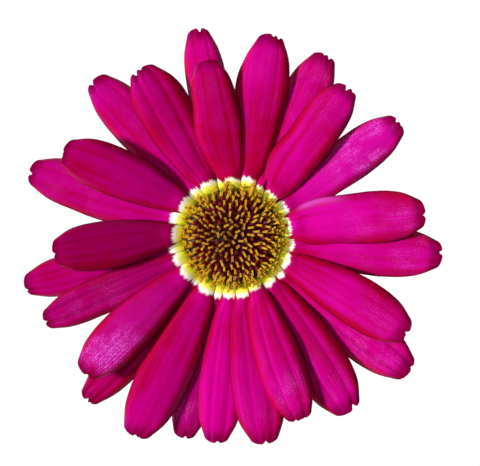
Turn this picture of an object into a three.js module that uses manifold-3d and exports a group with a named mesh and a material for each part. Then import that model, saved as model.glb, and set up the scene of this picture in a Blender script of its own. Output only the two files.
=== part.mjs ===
// A marguerite daisy: one flower head picked with a short stub of its stalk, standing face up on
// the cut. Millimetres, +Z up. The origin is the middle of the cut face.
import * as THREE from "three";
import { mergeVertices } from "three/addons/utils/BufferGeometryUtils.js";
import Module from "manifold-3d";

// Stalk and receptacle. The cup is the green bowl under the petals; its wall carries their roots.
const stalk_radius = 1.6;
const stub_length = 2;
const cup_radius = 7.2;
const cup_depth = 3.8;
const cushion_rise = 1.3;

// Ray florets, called petals here. Level 0 is the back of the overlap and level 3 the front.
const petal_thickness = 0.3;
const petal_camber = 0.16;
const root_width = 1.1;
const root_thickness = 0.5;
const root_height = 1.1;
const root_step = 0.25;
const tip_flatness = 0.055;
const notch_depth = 0.7;
const start_tilt = [4, 14, 22, 31];
const tip_tilt = [3, 6, 9, 8];
const tip_rise = [1.7, 3.5, 5.4, 6.3];

// Share of the half width at stations along a petal, from the root to the tip.
const petal_outline = [
  [0.05, 0.21],
  [0.14, 0.43],
  [0.3, 0.71],
  [0.48, 0.93],
  [0.65, 1],
  [0.8, 0.95],
  [0.92, 0.82],
  [1, 0.62],
];

// Bracts, in two rows round the cup. From and to are shares of the way up the cup's side.
const bract_thickness = 0.35;
const inner_bracts = 13;
const inner_bract_from = 0.42;
const inner_bract_to = 1.04;
const outer_bracts = 8;
const outer_bract_from = 0.12;
const outer_bract_to = 0.76;
const outer_bract_fill = 0.72;
const bract_clearance = 0.3;

// Disc florets: feet on the cushion, heads on a wider and rounder dome.
const floret_count = 200;
const cushion_margin = 0.5;
const floret_splay = 2.4;
const head_rise = 1.9;
const foot_radius = 0.2;
const head_radius = 0.36;
const ring_count = 6;
const base_thickness = 0.3;

const clearance = 0.3;

// One petal in each row, anticlockwise from +X: direction of the root and of the tip in degrees,
// length in plan beyond the root, half width, level, and the place of the notch across the tip.
const petals = [
  [11, 7, 22.5, 4.1, 2, -0.1],
  [28, 34.5, 23.9, 3.6, 0, 0.3],
  [44.5, 52.5, 21.9, 3.6, 1, 0],
  [60, 63, 24.3, 3.5, 0, -0.2],
  [74, 79.3, 24.5, 3.7, 1, -0.2],
  [88, 98.6, 20.2, 3.5, 2, 0],
  [101.5, 99.8, 25.5, 3.2, 0, 0],
  [115, 119, 22.4, 3.9, 1, 0.2],
  [129, 131.5, 25.2, 3.6, 0, 0.2],
  [144, 153, 22.1, 3.9, 2, 0.1],
  [159, 162, 25.8, 3.8, 0, 0.2],
  [174, 185, 20.6, 3.8, 2, 0],
  [188.5, 193.2, 25.8, 3.1, 0, 0.3],
  [202, 204, 24.7, 3, 1, 0],
  [215.5, 222.3, 23.8, 3.8, 2, 0.3],
  [228.5, 228, 26.8, 3.1, 0, 0],
  [241.5, 243.5, 27.1, 4, 1, 0.1],
  [254.5, 256, 24.8, 3.2, 0, 0.1],
  [267.5, 265, 24.6, 3.3, 1, 0.1],
  [281, 279, 25, 3.8, 2, 0],
  [295, 290.2, 22.7, 3.8, 3, -0.3],
  [309.5, 303.7, 25.1, 3.8, 1, 0.3],
  [323, 322.5, 27, 3.9, 0, 0.3],
  [337.5, 331, 23.5, 4, 2, 0],
  [352, 355.1, 25.1, 3.9, 1, 0.1],
];

const rim_height = stub_length + cup_depth;
const root_radius = cup_radius + clearance;
const highest_root = rim_height + root_height + 3 * root_step;
const wall_top = highest_root + root_thickness / 2;
const foot_circle = cup_radius - cushion_margin - foot_radius;
const head_circle = foot_circle + floret_splay;
const radians = THREE.MathUtils.degToRad;

const wasm = await Module();
wasm.setup();

function material(color, roughness) {
  return new THREE.MeshStandardMaterial({ color, roughness, metalness: 0 });
}

const petal_skin = material("#c4027f", 0.5);
const bract_skin = material("#5d7a35", 0.6);
const stalk_skin = material("#6f8f45", 0.6);
const floret_skin = material("#c79a2c", 0.65);

// A flat slab of unit size whose every corner is moved by place(u, v, w): u runs 0 to 1 along it,
// v -1 to 1 across it and w -1 to 1 through its thickness.
function warpedSlab(along, across, place) {
  let slab = new THREE.BoxGeometry(1, 1, 1, along, across, 1);
  slab.deleteAttribute("normal");
  slab.deleteAttribute("uv");
  slab = mergeVertices(slab);
  const points = slab.attributes.position;
  for (let i = 0; i < points.count; i += 1) {
    const u = points.getX(i) + 0.5;
    const v = points.getY(i) * 2;
    const w = points.getZ(i) * 2;
    points.setXYZ(i, ...place(u, v, w).toArray());
  }
  return slab;
}

function polar(radius, angle, z) {
  return new THREE.Vector3(radius * Math.cos(angle), radius * Math.sin(angle), z);
}

// The midrib seen from the side: distance from the root against height, as a curve that leaves
// the root at one tilt and reaches the tip at another.
function midribOf(length, level) {
  const reach = length / 3;
  const start = reach * Math.tan(radians(start_tilt[level]));
  const end = reach * Math.tan(radians(tip_tilt[level]));
  return new THREE.CubicBezierCurve(
    new THREE.Vector2(0, 0),
    new THREE.Vector2(reach, start),
    new THREE.Vector2(2 * reach, tip_rise[level] - end),
    new THREE.Vector2(length, tip_rise[level]),
  );
}

function petal([root_angle, tip_angle, reach, half_width, level, notch]) {
  const root_z = rim_height + root_height + level * root_step;
  const root = polar(root_radius, radians(root_angle), root_z);
  const tip = polar(root_radius + reach, radians(tip_angle), root_z);
  const ahead = tip.clone().sub(root);
  const length = ahead.length();
  ahead.normalize();
  const aside = new THREE.Vector3(-ahead.y, ahead.x, 0);
  const midrib = midribOf(length, level);
  const stations = [[0, root_width / 2 / half_width], ...petal_outline];
  const rows = stations.length - 1;
  const lanes = 6;
  const notch_lane = Math.round((notch + 1) * lanes / 2) * 2 / lanes - 1;

  return warpedSlab(rows, lanes, (u, v, w) => {
    const [along, share] = stations[Math.round(u * rows)];
    const lane = v < notch_lane
      ? THREE.MathUtils.mapLinear(v, -1, notch_lane, -1, notch)
      : THREE.MathUtils.mapLinear(v, notch_lane, 1, notch, 1);
    const bite = along === 1 && Math.abs(v - notch_lane) < 0.01 ? notch_depth / length : 0;
    const t = along * (1 - tip_flatness * Math.abs(lane) ** 2.2) - bite;
    const rib = midrib.getPoint(t);
    const slope = midrib.getTangent(t);
    const across = lane * half_width * share;
    const swell = THREE.MathUtils.smoothstep(along, 0, 0.14);
    const thickness = THREE.MathUtils.lerp(root_thickness, petal_thickness, swell);
    const droop = petal_camber * half_width * share * lane ** 2;
    return root.clone()
      .addScaledVector(ahead, rib.x - w * thickness / 2 * slope.y * swell)
      .addScaledVector(aside, across)
      .setZ(root_z + rib.y - droop + w * thickness / 2 * slope.x);
  });
}

// The cup's side from the top of the stub to its rim, as radius against height.
const cup_side = new THREE.CubicBezierCurve(
  new THREE.Vector2(stalk_radius, stub_length),
  new THREE.Vector2(cup_radius * 0.65, stub_length),
  new THREE.Vector2(cup_radius, stub_length + cup_depth * 0.3),
  new THREE.Vector2(cup_radius, rim_height),
);

// The cushion that the disc florets stand on, as height against radius.
function cushion(radius) {
  return wall_top + cushion_rise * (1 - (radius / cup_radius) ** 2);
}

function receptacle() {
  const profile = [new THREE.Vector2(0, 0), new THREE.Vector2(stalk_radius, 0)];
  profile.push(...cup_side.getPoints(8));
  for (const share of [1, 0.8, 0.6, 0.4, 0.2, 0]) {
    profile.push(new THREE.Vector2(cup_radius * share, cushion(cup_radius * share)));
  }
  return new THREE.LatheGeometry(profile, 32).rotateX(Math.PI / 2);
}

// A bract: a thin scale that follows the cup's side. spread is half its angle at the widest place,
// and lift(u) its distance off the cup.
function bract(angle, from, to, spread, lift) {
  const outline = [0.62, 0.9, 1, 0.92, 0.7, 0.34];
  const rows = outline.length - 1;
  return warpedSlab(rows, 2, (u, v, w) => {
    const s = THREE.MathUtils.lerp(from, to, u);
    const foot = cup_side.getPoint(Math.min(s, 1));
    const slope = cup_side.getTangent(Math.min(s, 1));
    const beyond = Math.max(s - 1, 0) * cup_side.getLength();
    const out = lift(u) + (w + 1) * bract_thickness / 2;
    const radius = foot.x + out * slope.y;
    const z = foot.y + beyond - out * slope.x;
    return polar(radius, angle - v * spread * outline[Math.round(u * rows)], z);
  });
}

// Highest place that any petal reaches this far out, so the disc florets can lean over it.
function petalTop(radius) {
  const climb = (radius - root_radius) * Math.tan(radians(start_tilt[3]));
  return highest_root + climb + petal_thickness / 2;
}

const head_rim = petalTop(head_circle + head_radius) + clearance + head_radius;

// One floret: a tube that widens from its foot and closes to a blunt point.
function floret(foot_distance, angle) {
  const share = foot_distance / foot_circle;
  const foot_z = cushion(foot_distance) + clearance + base_thickness / 2;
  const foot = polar(foot_distance, angle, foot_z);
  const head = polar(head_circle * share, angle, head_rim + head_rise * (1 - share ** 2.2));
  const height = foot.distanceTo(head);
  const profile = [
    new THREE.Vector2(0, 0),
    new THREE.Vector2(foot_radius, 0),
    new THREE.Vector2(head_radius, height * 0.82),
    new THREE.Vector2(0, height),
  ];
  const shape = new THREE.LatheGeometry(profile, 5);
  const turn = new THREE.Quaternion();
  turn.setFromUnitVectors(new THREE.Vector3(0, 1, 0), head.clone().sub(foot).normalize());
  shape.applyQuaternion(turn);
  shape.translate(foot.x, foot.y, foot.z);
  return shape;
}

// A ring of the thin skin that the florets of one zone grow from.
function ringBase(inner, outer) {
  const low = (radius) => cushion(radius) + clearance;
  const profile = [
    new THREE.Vector2(inner, low(inner)),
    new THREE.Vector2(outer, low(outer)),
    new THREE.Vector2(outer, low(outer) + base_thickness),
    new THREE.Vector2(inner, low(inner) + base_thickness),
  ];
  if (inner > 0) {
    profile.push(profile[0].clone());
  }
  return new THREE.LatheGeometry(profile, 24).rotateX(Math.PI / 2);
}

function solid(shape) {
  shape.deleteAttribute("normal");
  shape.deleteAttribute("uv");
  const merged = mergeVertices(shape, 1e-5);
  return new wasm.Manifold(new wasm.Mesh({
    numProp: 3,
    vertProperties: new Float32Array(merged.attributes.position.array),
    triVerts: new Uint32Array(merged.index.array),
  }));
}

function geometryOf(body) {
  const mesh = body.getMesh();
  const shape = new THREE.BufferGeometry();
  shape.setAttribute("position", new THREE.BufferAttribute(mesh.vertProperties, 3));
  shape.setIndex(new THREE.BufferAttribute(mesh.triVerts, 1));
  return shape;
}

// Florets stand on a sunflower spiral. Each foot is kept inside its own ring's base.
function floretRing(ring) {
  const zone = (cup_radius - cushion_margin + clearance / 2) / ring_count;
  const inner = ring === 0 ? 0 : ring * zone + clearance / 2;
  const outer = (ring + 1) * zone - clearance / 2;
  let body = solid(ringBase(inner, outer));
  for (let i = 0; i < floret_count; i += 1) {
    const share = Math.sqrt((i + 0.5) / floret_count);
    if (Math.floor(share * ring_count) !== ring) {
      continue;
    }
    const angle = i * Math.PI * (3 - Math.sqrt(5));
    const least = ring === 0 ? 0 : inner + foot_radius;
    const most = outer - foot_radius - base_thickness / 2;
    const distance = THREE.MathUtils.clamp(share * foot_circle, least, most);
    body = body.add(solid(floret(distance, angle)));
  }
  return geometryOf(body);
}

const daisy = new THREE.Group();

function addPiece(name, shape, skin) {
  const piece = new THREE.Mesh(shape, skin);
  piece.name = name;
  daisy.add(piece);
}

function numbered(name, index) {
  return `${name}_${String(index + 1).padStart(2, "0")}`;
}

addPiece("stalk_and_receptacle", receptacle(), stalk_skin);

petals.forEach((row, index) => {
  addPiece(numbered("ray_petal", index), petal(row), petal_skin);
});

for (let i = 0; i < inner_bracts; i += 1) {
  const angle = i * 2 * Math.PI / inner_bracts;
  const spread = Math.PI / inner_bracts - bract_clearance / 2 / cup_radius;
  const shape = bract(angle, inner_bract_from, inner_bract_to, spread, () => clearance);
  addPiece(numbered("inner_bract", i), shape, bract_skin);
}

for (let i = 0; i < outer_bracts; i += 1) {
  const angle = (i + 0.5) * 2 * Math.PI / outer_bracts;
  const spread = Math.PI / outer_bracts * outer_bract_fill;
  const over = bract_thickness + clearance;
  const lift = (u) => clearance + over * THREE.MathUtils.smoothstep(u, 0, 0.4);
  const shape = bract(angle, outer_bract_from, outer_bract_to, spread, lift);
  addPiece(numbered("outer_bract", i), shape, bract_skin);
}

for (let i = 0; i < ring_count; i += 1) {
  addPiece(numbered("disc_florets_ring", i), floretRing(i), floret_skin);
}

export default daisy;
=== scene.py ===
# %% [markdown]
# # A marguerite daisy, picked with a stub of its stalk
#
# A daisy is not one flower but hundreds. The coloured straps round the edge are the ray florets,
# and the knob in the middle is a crowd of disc florets, each a tube with a forked style. All of
# them stand on one green receptacle, wrapped from below in scales called bracts.
#
# A rough model of every piece is already there as a frame, and it settles where each piece goes.
# This lesson makes the fine pieces that stand in its places, from the petals down to the stub.

# %% Load the frame of the flower
import math

import bpy
import numpy as np
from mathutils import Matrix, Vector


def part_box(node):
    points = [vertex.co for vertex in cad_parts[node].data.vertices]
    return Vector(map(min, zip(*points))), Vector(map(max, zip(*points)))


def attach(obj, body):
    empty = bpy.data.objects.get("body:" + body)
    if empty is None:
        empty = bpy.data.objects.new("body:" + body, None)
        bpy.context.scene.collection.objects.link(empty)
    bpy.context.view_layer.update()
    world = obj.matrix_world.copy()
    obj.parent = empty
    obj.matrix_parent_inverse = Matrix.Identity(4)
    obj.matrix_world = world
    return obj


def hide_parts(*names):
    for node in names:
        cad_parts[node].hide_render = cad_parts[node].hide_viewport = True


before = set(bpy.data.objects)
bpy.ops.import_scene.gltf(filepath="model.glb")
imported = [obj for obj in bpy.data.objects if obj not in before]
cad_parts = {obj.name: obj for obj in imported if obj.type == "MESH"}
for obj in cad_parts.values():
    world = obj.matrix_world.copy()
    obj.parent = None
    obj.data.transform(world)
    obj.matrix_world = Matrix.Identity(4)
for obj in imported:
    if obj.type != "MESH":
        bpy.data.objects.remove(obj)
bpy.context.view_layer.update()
MM = 0.001

# %% [markdown]
# ## Where the eye is
#
# The flower is seen from straight above, from about a metre away. From so far the petals keep
# their true proportions, and the raised ones don't swell towards the eye. A long lens then brings
# the flower close, as it does on a copy stand.

# %% Place the camera
view_width = 74.4 * MM
view_middle = (1.04 * MM, 0.62 * MM)
petal_plane = 9 * MM
camera_distance = 1.0

lens = bpy.data.cameras.new("copy_stand_camera")
lens.sensor_width = 36
lens.lens = lens.sensor_width * camera_distance / view_width
lens.clip_start = 0.05
camera = bpy.data.objects.new("copy_stand_camera", lens)
camera.location = (*view_middle, petal_plane + camera_distance)
bpy.context.collection.objects.link(camera)
bpy.context.scene.camera = camera
print("lens", round(lens.lens), "mm")

# %% [markdown]
# ## Light
#
# One soft window of light stands low on the left. It throws the shadow of each raised petal onto
# the petal to its right, and it leaves the petals that tilt away from it in a deep crimson. A weak
# lamp overhead lightens the rest. One function hangs both, because a lamp is easiest to place by
# its bearing, its height in degrees and its distance.

# %% Hang the lights
def aim(thing, target):
    direction = np.array(target) - np.array(thing.location)
    pitch = math.atan2(math.hypot(direction[0], direction[1]), -direction[2])
    thing.rotation_euler = (pitch, 0, math.atan2(direction[1], direction[0]) - math.pi / 2)


def window_light(name, bearing, height, distance, size, watts, color):
    lamp = bpy.data.lights.new(name, "AREA")
    lamp.shape = "DISK"
    lamp.size = size
    lamp.energy = watts
    lamp.color = color
    thing = bpy.data.objects.new(name, lamp)
    flat = distance * math.cos(math.radians(height))
    thing.location = (
        flat * math.cos(math.radians(bearing)),
        flat * math.sin(math.radians(bearing)),
        distance * math.sin(math.radians(height)),
    )
    aim(thing, (0, 0, petal_plane))
    bpy.context.collection.objects.link(thing)
    return thing


left_window = window_light(
    "left_window", bearing=180, height=42, distance=0.7, size=0.12, watts=6.2, color=(1, 0.99, 0.97)
)
overhead_softbox = window_light(
    "overhead_softbox", bearing=170, height=78, distance=0.8, size=0.16, watts=0.9, color=(1, 0.88, 0.76)
)
print("lamps", [(lamp.name, round(lamp.data.energy, 1)) for lamp in (left_window, overhead_softbox)])

# %% [markdown]
# ### The room
#
# A room's walls throw back a little warm light, and without it the shadows between the petals
# would be black. The camera should see plain white behind the flower all the same, so it is shown
# one sky while the petals are lit by another. A light path node tells the two kinds of ray apart.

# %% Paint the room
room_glow = (1, 0.66, 0.34, 1)
room_strength = 0.05
white_strength = 1.05

world = bpy.data.worlds.new("white_room")
bpy.context.scene.world = world
world.use_nodes = True
sky = world.node_tree
sky.nodes.clear()
sky_light = sky.nodes.new("ShaderNodeBackground")
sky_light.inputs["Color"].default_value = room_glow
sky_light.inputs["Strength"].default_value = room_strength
sky_seen = sky.nodes.new("ShaderNodeBackground")
sky_seen.inputs["Color"].default_value = (1, 1, 1, 1)
sky_seen.inputs["Strength"].default_value = white_strength
sky_path = sky.nodes.new("ShaderNodeLightPath")
sky_mix = sky.nodes.new("ShaderNodeMixShader")
sky_out = sky.nodes.new("ShaderNodeOutputWorld")
sky.links.new(sky_path.outputs["Is Camera Ray"], sky_mix.inputs["Fac"])
sky.links.new(sky_light.outputs[0], sky_mix.inputs[1])
sky.links.new(sky_seen.outputs[0], sky_mix.inputs[2])
sky.links.new(sky_mix.outputs[0], sky_out.inputs["Surface"])

bpy.context.scene.view_settings.view_transform = "Standard"
bpy.context.scene.view_settings.look = "None"
print("room", world.name, len(sky.nodes), "nodes")

# %% [markdown]
# ## Small tools for pieces
#
# Every piece of the flower is made from points and faces, in millimetres. One function makes the
# mesh, gives it its materials, lays a flat map over it where one is given, and ties the piece to
# the frame.

# %% Make a piece
def new_piece(name, points, faces, materials, body="root", uv=None):
    mesh = bpy.data.meshes.new(name)
    mesh.from_pydata((np.asarray(points) * MM).tolist(), [], faces)
    for material in materials:
        mesh.materials.append(material)
    if uv is not None:
        layer = mesh.uv_layers.new(name="along_across")
        corners = np.empty(len(mesh.loops), dtype=np.int32)
        mesh.loops.foreach_get("vertex_index", corners)
        layer.uv.foreach_set("vector", np.asarray(uv, dtype=np.float32)[corners].ravel())
    mesh.polygons.foreach_set("use_smooth", [True] * len(mesh.polygons))
    mesh.update()
    piece = bpy.data.objects.new(name, mesh)
    bpy.context.collection.objects.link(piece)
    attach(piece, body)
    return piece


print("pieces are made in units of", MM, "m")

# %% [markdown]
# ### Lofts
#
# Petals, bracts, florets and stalk are all lofts: rings of points, joined by four-sided faces and
# closed at both ends. Many soft curves also need a number that eases from 0 to 1, and smoothstep
# is the usual way to make it.

# %% Join rings into faces
def loft_faces(rings, around, start=0, cap_first=True, cap_last=True):
    faces = []
    for ring in range(rings - 1):
        low = start + ring * around
        for k in range(around):
            after = (k + 1) % around
            faces.append((low + k, low + after, low + around + after, low + around + k))
    if cap_first:
        faces.append(tuple(start + k for k in reversed(range(around))))
    if cap_last:
        last = start + (rings - 1) * around
        faces.append(tuple(last + k for k in range(around)))
    return faces


def smoothstep(low, high, x):
    t = np.clip((np.asarray(x, dtype=float) - low) / (high - low), 0, 1)
    return t * t * (3 - 2 * t)


print("two rings of four points make", len(loft_faces(2, 4)), "faces")

# %% [markdown]
# ## Small tools for materials
#
# A material is a web of nodes, and wiring one by hand takes three lines for every node. A thin
# wrapper that makes a node and fills its sockets in one call keeps a material short enough to
# read.

# %% Tools for making materials
class Nodes:
    """A thin wrapper that adds nodes to a tree and links their sockets by name."""

    def __init__(self, tree):
        self.tree = tree

    def add(self, kind, values=None, **settings):
        node = self.tree.nodes.new(kind)
        for key, value in settings.items():
            setattr(node, key, value)
        for socket, value in (values or {}).items():
            if isinstance(value, bpy.types.NodeSocket):
                self.tree.links.new(value, node.inputs[socket])
            else:
                node.inputs[socket].default_value = value
        return node

    def math(self, operation, a, b=0.0, c=0.0, clamp=False):
        node = self.add("ShaderNodeMath", {0: a, 1: b, 2: c}, operation=operation, use_clamp=clamp)
        return node.outputs[0]

    def mix(self, factor, a, b, blend="MIX"):
        node = self.add("ShaderNodeMix", data_type="RGBA", blend_type=blend)
        sockets = node.inputs["Factor"], node.inputs[6], node.inputs[7]
        for socket, value in zip(sockets, (factor, a, b)):
            if isinstance(value, bpy.types.NodeSocket):
                self.tree.links.new(value, socket)
            else:
                socket.default_value = value
        return node.outputs[2]

    def ramp(self, value, low, high, smooth=True):
        node = self.add(
            "ShaderNodeMapRange",
            {"Value": value, "From Min": low, "From Max": high},
            interpolation_type="SMOOTHSTEP" if smooth else "LINEAR",
        )
        return node.outputs["Result"]

    def noise(self, vector, scale, detail=2.0, roughness=0.5):
        values = {"Vector": vector, "Scale": scale, "Detail": detail, "Roughness": roughness}
        return self.add("ShaderNodeTexNoise", values).outputs["Fac"]


print("node tools:", [tool for tool in vars(Nodes) if not tool.startswith("_")])

# %% [markdown]
# ### Colours and a new material
#
# Colours are given as they look on a screen, since that is how anyone would pick them, and are
# turned into the light that Blender works with. A new material starts from Blender's own main
# shader, and values that are the same all over a surface are set on it straight away.

# %% Pick a colour, start a material
def color(red, green, blue):
    """A colour given as it looks on a screen, 0 to 255, turned into light."""
    shares = (red / 255, green / 255, blue / 255)
    light = [((c + 0.055) / 1.055) ** 2.4 if c > 0.0404 else c / 12.92 for c in shares]
    return (*light, 1)


def new_material(name, roughness, **sockets):
    material = bpy.data.materials.new(name)
    material.use_nodes = True
    nodes = Nodes(material.node_tree)
    shader = material.node_tree.nodes["Principled BSDF"]
    shader.inputs["Roughness"].default_value = roughness
    for socket, value in sockets.items():
        shader.inputs[socket.replace("_", " ")].default_value = value
    return material, nodes, shader


print("middle grey as light", round(color(128, 128, 128)[0], 3))

# %% [markdown]
# ## Effects that several materials share
#
# Petals, bracts and stalk all grow in fibres. Petals, florets and stalk all change colour with
# their distance from the flower's middle. Each of these effects is a node group: it is built once,
# and each material places it with its own values.

# %% Tools for shared effects
def new_group(name, inputs, outputs):
    """An empty node group, with inputs as (name, kind, first value) and outputs as (name, kind)."""
    tree = bpy.data.node_groups.new(name, "ShaderNodeTree")
    for label, kind, first in inputs:
        kind = "NodeSocket" + kind
        socket = tree.interface.new_socket(name=label, in_out="INPUT", socket_type=kind)
        if first is not None:
            socket.default_value = first
    for label, kind in outputs:
        kind = "NodeSocket" + kind
        tree.interface.new_socket(name=label, in_out="OUTPUT", socket_type=kind)
    nodes = Nodes(tree)
    return nodes, nodes.add("NodeGroupInput").outputs, nodes.add("NodeGroupOutput").inputs


def place_group(nodes, group, **values):
    """Place a group in a material and hand back its outputs, to be read by name."""
    return nodes.add("ShaderNodeGroup", values, node_tree=group).outputs


print("node groups so far", len(bpy.data.node_groups))

# %% [markdown]
# ### Growth streaks
#
# A plant's fibres run the way it grew. Noise that is squeezed across a piece and stretched along
# it gives such fibres, and needs only a map whose first number runs along the piece.

# %% Build the growth streaks
nodes, given, result = new_group(
    "growth_streaks",
    [("Map", "Vector", None), ("Across", "Float", 40.0), ("Along", "Float", 3.0)],
    [("Streaks", "Float")],
)
parts = nodes.add("ShaderNodeSeparateXYZ", {"Vector": given["Map"]}).outputs
along = nodes.math("MULTIPLY", parts["X"], given["Along"])
across = nodes.math("MULTIPLY", parts["Y"], given["Across"])
stretched = nodes.add("ShaderNodeCombineXYZ", {"X": along, "Y": across, "Z": parts["Z"]}).outputs[0]
nodes.tree.links.new(nodes.noise(stretched, 1.0, 3.0, 0.6), result["Streaks"])
growth_streaks = nodes.tree
print(growth_streaks.name, len(growth_streaks.nodes), "nodes")

# %% [markdown]
# ### Place in the flower
#
# Seen from above, the flower is drawn in circles: dark florets, a green ring, a white ring, then
# the coloured blades. So many materials ask how far a spot lies from the middle, at what height,
# and at what bearing. The answers are in millimetres and radians.

# %% Build the place in the flower
nodes, given, result = new_group(
    "place_in_flower",
    [("Place", "Vector", None)],
    [("Radius", "Float"), ("Height", "Float"), ("Bearing", "Float")],
)
parts = nodes.add("ShaderNodeSeparateXYZ", {"Vector": given["Place"]}).outputs
flat = nodes.add("ShaderNodeCombineXYZ", {"X": parts["X"], "Y": parts["Y"]}).outputs[0]
reach = nodes.add("ShaderNodeVectorMath", {0: flat}, operation="LENGTH").outputs["Value"]
nodes.tree.links.new(nodes.math("MULTIPLY", reach, 1 / MM), result["Radius"])
nodes.tree.links.new(nodes.math("MULTIPLY", parts["Z"], 1 / MM), result["Height"])
nodes.tree.links.new(nodes.math("ARCTAN2", parts["Y"], parts["X"]), result["Bearing"])
place_in_flower = nodes.tree
print(place_in_flower.name, len(place_in_flower.nodes), "nodes")

# %% [markdown]
# ### The folded sheet
#
# A petal's map runs round it, over the top and back underneath. Folding that map at the rims
# gives both faces the same pattern, as on a real leaf, whose veins show on both sides. The seed
# keeps two leaves from having the same veins.

# %% Build the folded sheet
nodes, given, result = new_group(
    "folded_sheet",
    [("Map", "Vector", None), ("Seed", "Float", 0.0)],
    [("Folded", "Vector"), ("Along", "Float"), ("Off_Middle", "Float")],
)
parts = nodes.add("ShaderNodeSeparateXYZ", {"Vector": given["Map"]}).outputs
across = nodes.math("PINGPONG", parts["Y"], 1.0)
off_middle = nodes.math("ABSOLUTE", nodes.math("MULTIPLY_ADD", across, 2.0, -1.0))
seeded = {"X": parts["X"], "Y": across, "Z": given["Seed"]}
folded = nodes.add("ShaderNodeCombineXYZ", seeded).outputs[0]
nodes.tree.links.new(folded, result["Folded"])
nodes.tree.links.new(parts["X"], result["Along"])
nodes.tree.links.new(off_middle, result["Off_Middle"])
folded_sheet = nodes.tree
print(folded_sheet.name, len(folded_sheet.nodes), "nodes")

# %% [markdown]
# ## The floor
#
# The flower stands on its cut stub on plain white paper. The camera sees the paper as an even
# white glow, so the flower's own shadow drowns in it, while the petals get the light of real
# paper. From below the paper is clear, so that the underside of the flower can be looked at.

# %% Colour the paper
floor_material, nodes, shader = new_material("white_paper", 0.9)
nodes_out = floor_material.node_tree.nodes["Material Output"]
grain = nodes.noise(nodes.add("ShaderNodeTexCoord").outputs["Object"], 900.0)
paper = nodes.mix(grain, (0.86, 0.86, 0.86, 1), (0.9, 0.9, 0.9, 1))
nodes.tree.links.new(paper, shader.inputs["Base Color"])
glow = nodes.add("ShaderNodeEmission", {"Color": (1, 1, 1, 1), "Strength": white_strength})
path = nodes.add("ShaderNodeLightPath")
blend = nodes.add("ShaderNodeMixShader", {"Fac": path.outputs["Is Camera Ray"]})
nodes.tree.links.new(shader.outputs[0], blend.inputs[1])
nodes.tree.links.new(glow.outputs[0], blend.inputs[2])
see_through = nodes.add("ShaderNodeBsdfTransparent")
from_below = nodes.add("ShaderNodeNewGeometry").outputs["Backfacing"]
one_sided = nodes.add("ShaderNodeMixShader", {"Fac": from_below})
nodes.tree.links.new(blend.outputs[0], one_sided.inputs[1])
nodes.tree.links.new(see_through.outputs[0], one_sided.inputs[2])
nodes.tree.links.new(one_sided.outputs[0], nodes_out.inputs["Surface"])

print(floor_material.name, len(nodes.tree.nodes), "nodes")

# %% [markdown]
# ### The sheet itself
#
# One square face is enough.

# %% Lay the white floor
floor_half = 1.5
corners = [(-floor_half, -floor_half, 0), (floor_half, -floor_half, 0)]
corners += [(floor_half, floor_half, 0), (-floor_half, floor_half, 0)]
floor_mesh = bpy.data.meshes.new("white_floor")
floor_mesh.from_pydata(corners, [], [(0, 1, 2, 3)])
floor_mesh.materials.append(floor_material)
floor = bpy.data.objects.new("white_floor", floor_mesh)
bpy.context.collection.objects.link(floor)
print("floor", 2 * floor_half, "m wide")

# %% [markdown]
# ## Reading a petal's frame
#
# Each rough petal says where its fine one lies. Its points and triangles are copied into arrays of
# numbers first, in millimetres, because sums over a whole array are quick to write and to run.

# %% Read a rough mesh
def mesh_arrays(name):
    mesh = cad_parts[name].data
    points = np.empty(len(mesh.vertices) * 3)
    mesh.vertices.foreach_get("co", points)
    mesh.calc_loop_triangles()
    triangles = np.empty(len(mesh.loop_triangles) * 3, dtype=np.int32)
    mesh.loop_triangles.foreach_get("vertices", triangles)
    return points.reshape(-1, 3) / MM, triangles.reshape(-1, 3)


print("a rough petal has", len(mesh_arrays("ray_petal_01")[0]), "points")

# %% [markdown]
# ### Slices
#
# A petal is sliced with upright planes, as one slices a loaf. Each slice is a loop of short
# segments, and the loop gives the petal's middle, its width and its height at that distance.

# %% Slice a rough petal
def slice_petal(points, triangles, root, ahead, distance):
    aside = np.array([-ahead[1], ahead[0]])
    flat = points[:, :2] - root
    places = np.stack([flat @ aside, points[:, 2]], axis=1)
    depth = (flat @ ahead - distance)[triangles]
    corners = places[triangles]
    segments = []
    crossing = (depth.min(axis=1) < 0) & (depth.max(axis=1) > 0)
    for d, p in zip(depth[crossing], corners[crossing]):
        ends = []
        for a, b in ((0, 1), (1, 2), (2, 0)):
            if (d[a] > 0) != (d[b] > 0):
                ends.append(p[a] + (p[b] - p[a]) * d[a] / (d[a] - d[b]))
        segments.append(ends[:2])
    return np.array(segments)


def height_at(segments, side):
    heights = []
    for (ya, za), (yb, zb) in segments:
        if min(ya, yb) <= side <= max(ya, yb) and ya != yb:
            heights.append(za + (zb - za) * (side - ya) / (yb - ya))
    return (max(heights) + min(heights)) / 2


print("slicing is done with", slice_petal.__name__, "and", height_at.__name__)

# %% [markdown]
# ### The line of a petal
#
# The petal's own line is found by guessing it from the two ends and then mending the guess from
# two slices, three times over. Thirteen slices along that line then give the bend of the midrib
# and the greatest width, and one of them gives how far the sides droop below the midrib.

# %% Read the petals' frames
root_zone = 0.4
tip_zone = 1.5
droop_at = 0.8


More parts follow.
